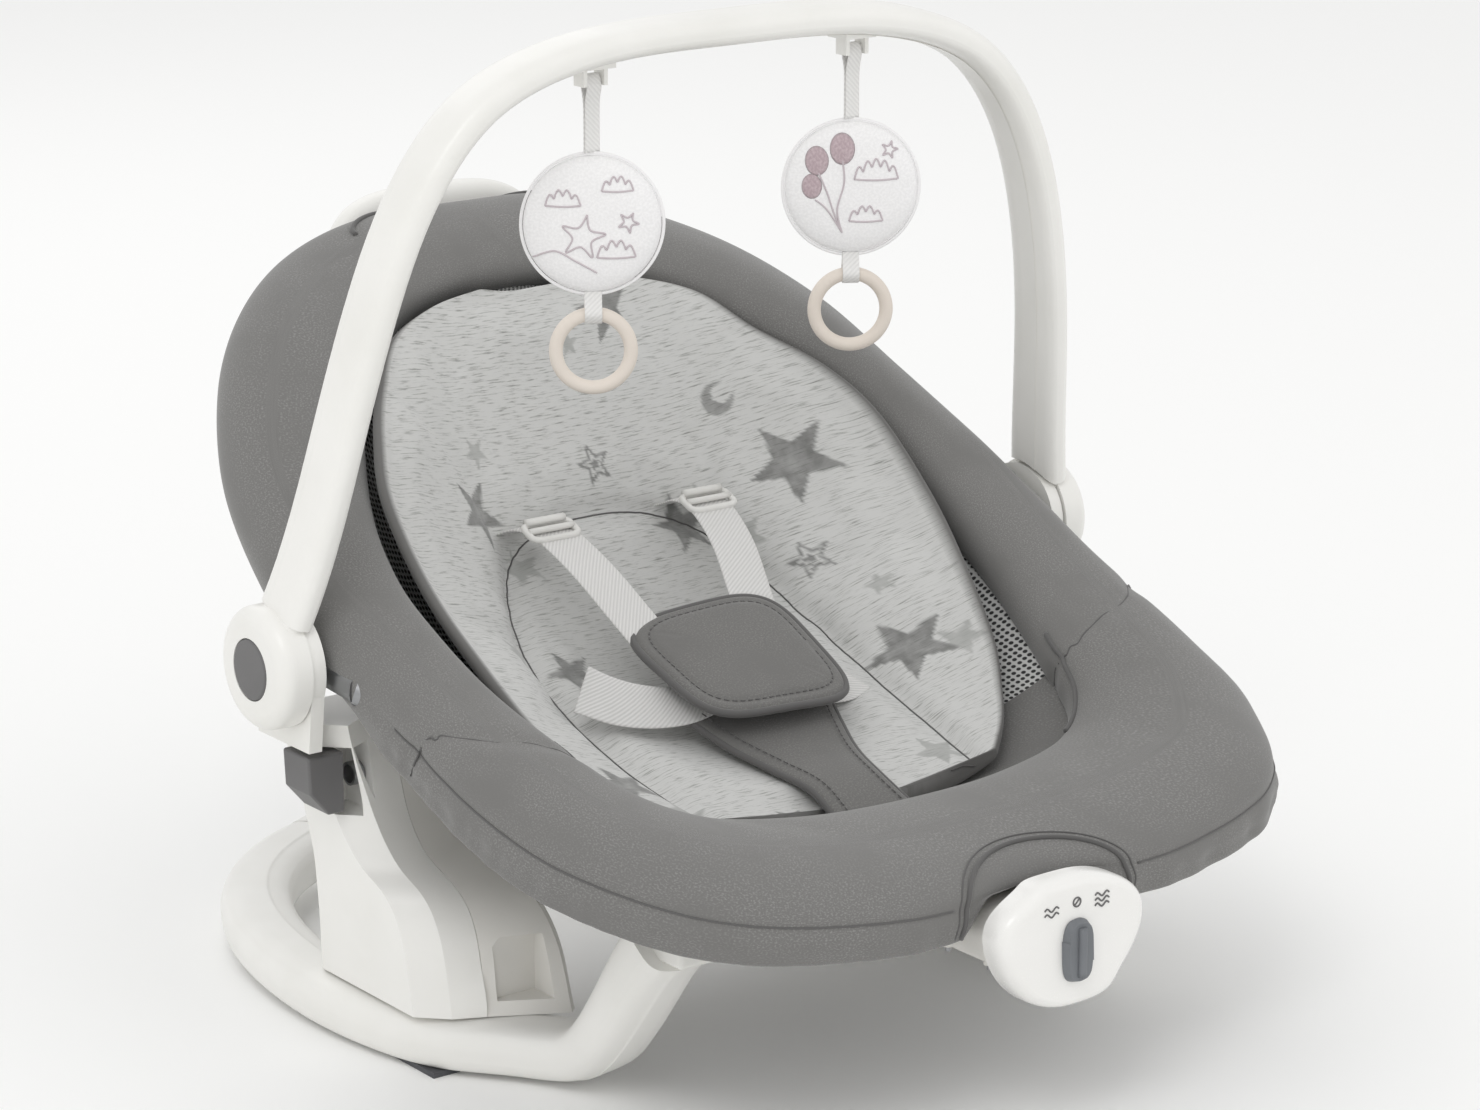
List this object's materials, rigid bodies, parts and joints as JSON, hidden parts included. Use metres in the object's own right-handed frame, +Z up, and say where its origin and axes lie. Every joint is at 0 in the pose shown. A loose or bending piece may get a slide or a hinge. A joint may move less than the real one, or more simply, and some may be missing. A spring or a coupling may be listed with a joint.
{
  "type": "bouncer seat",
  "caption": "Baby bouncer seat on a rocker base, with a padded reclining seat, harness, vibration unit, and a toy bar with hanging toys.",
  "frame": {"origin": "on the floor, under the middle of the whole seat", "axes": "+Y from the foot end to the head end, +Z up, X = 0 is the plane of symmetry"},
  "size_m": [0.5952, 0.653, 0.5859],
  "materials": {
    "white_plastic": "satin",
    "grey_plastic": "matte",
    "rubber": "matte",
    "frame_steel": "satin",
    "pin_steel": "satin",
    "dark_fabric": "matte",
    "light_fabric": "matte",
    "mesh_fabric": "matte",
    "webbing": "matte",
    "plush": "matte",
    "teether": "matte",
    "circuit": "matte",
    "cell": "satin"
  },
  "bodies": {
    "base": {"rail_left": "white_plastic", "rail_right": "white_plastic", "rear_rail": "white_plastic", "grip_pads": "rubber", "column_outer_left": "white_plastic", "column_outer_right": "white_plastic", "column_inner_left": "white_plastic", "column_inner_right": "white_plastic", "cross_beam": "white_plastic", "hub_plate_left": "white_plastic", "hub_plate_right": "white_plastic", "pivot_pins": "pin_steel", "base_screws": "pin_steel", "latch_springs": "pin_steel", "front_brackets": "white_plastic", "front_frame_tube": "frame_steel", "rim_pad_front": "dark_fabric", "insert_seat": "light_fabric", "sling_seat": "mesh_fabric", "crotch_pad": "dark_fabric", "belly_pad": "dark_fabric", "waist_strap_left": "webbing", "waist_strap_right": "webbing", "buckle_body": "grey_plastic", "buckle_tongues": "grey_plastic", "unit_front_cover": "white_plastic", "unit_rear_shell": "white_plastic", "battery_door": "white_plastic", "battery_cells": "cell", "circuit_board": "circuit", "vibration_motor": "pin_steel", "unit_screws": "pin_steel"},
    "backrest": {"back_frame_tube": "frame_steel", "rim_pad_back": "dark_fabric", "insert_back": "light_fabric", "sling_back": "mesh_fabric", "head_handle": "white_plastic", "shoulder_strap_left": "webbing", "shoulder_strap_right": "webbing", "adjuster_left": "white_plastic", "adjuster_right": "white_plastic"},
    "toy_bar": {"toy_arch": "white_plastic", "toy_clips": "white_plastic", "button_springs": "pin_steel"},
    "recline_trigger": {"recline_trigger": "grey_plastic"},
    "mode_knob": {"mode_knob": "grey_plastic"},
    "buckle_button": {"buckle_button": "grey_plastic"},
    "eccentric_weight": {"eccentric_weight": "pin_steel"},
    "hub_button_left": {"hub_button_left": "grey_plastic"},
    "latch_button_left": {"latch_button_left": "grey_plastic"},
    "toy_left": {"toy_disc_left": "plush", "ribbon_left": "webbing"},
    "ring_left": {"teether_ring_left": "teether"},
    "hub_button_right": {"hub_button_right": "grey_plastic"},
    "latch_button_right": {"latch_button_right": "grey_plastic"},
    "toy_right": {"toy_disc_right": "plush", "ribbon_right": "webbing"},
    "ring_right": {"teether_ring_right": "teether"}
  },
  "joints": [
    {"name": "backrest_recline", "type": "hinge", "parent": "base", "child": "backrest", "pos_m": [0, 0.048, 0.233], "axis": [-1, 0, 0], "range_deg": [0, 15]},
    {"name": "toy_bar_swing", "type": "hinge", "parent": "base", "child": "toy_bar", "pos_m": [0, 0.048, 0.233], "axis": [1, 0, 0], "range_deg": [-35, 58]},
    {"name": "recline_trigger_squeeze", "type": "slide", "parent": "backrest", "child": "recline_trigger", "axis": [0, 0, 1], "range_m": [0, 0.005], "stiffness_N_per_m": 600},
    {"name": "mode_knob_turn", "type": "hinge", "parent": "base", "child": "mode_knob", "pos_m": [0, -0.322, 0.11], "axis": [0, 1, 0], "range_deg": [-45, 45]},
    {"name": "buckle_button_press", "type": "slide", "parent": "base", "child": "buckle_button", "axis": [0, 0.9397, 0.342], "range_m": [0, 0.003], "stiffness_N_per_m": 500},
    {"name": "vibration_weight_spin", "type": "hinge", "parent": "base", "child": "eccentric_weight", "pos_m": [0.025, -0.263, 0.118], "axis": [0, 1, 0], "continuous": true},
    {"name": "hub_button_left_press", "type": "slide", "parent": "toy_bar", "child": "hub_button_left", "axis": [1, 0, 0], "range_m": [0, 0.0025], "stiffness_N_per_m": 600},
    {"name": "latch_button_left_press", "type": "slide", "parent": "base", "child": "latch_button_left", "axis": [1, 0, 0], "range_m": [0, 0.006], "stiffness_N_per_m": 500},
    {"name": "toy_left_swing", "type": "hinge", "parent": "toy_bar", "child": "toy_left", "pos_m": [-0.093, 0, 0.555], "axis": [1, 0, 0], "range_deg": [-60, 60]},
    {"name": "ring_left_swing", "type": "hinge", "parent": "toy_left", "child": "ring_left", "pos_m": [-0.093, 0, 0.4197], "axis": [0.848, -0.5299, 0], "range_deg": [-60, 60]},
    {"name": "hub_button_right_press", "type": "slide", "parent": "toy_bar", "child": "hub_button_right", "axis": [-1, 0, 0], "range_m": [0, 0.0025], "stiffness_N_per_m": 600},
    {"name": "latch_button_right_press", "type": "slide", "parent": "base", "child": "latch_button_right", "axis": [-1, 0, 0], "range_m": [0, 0.006], "stiffness_N_per_m": 500},
    {"name": "toy_right_swing", "type": "hinge", "parent": "toy_bar", "child": "toy_right", "pos_m": [0.093, 0, 0.555], "axis": [1, 0, 0], "range_deg": [-60, 60]},
    {"name": "ring_right_swing", "type": "hinge", "parent": "toy_right", "child": "ring_right", "pos_m": [0.093, 0, 0.4197], "axis": [0.848, -0.5299, 0], "range_deg": [-60, 60]}
  ]
}
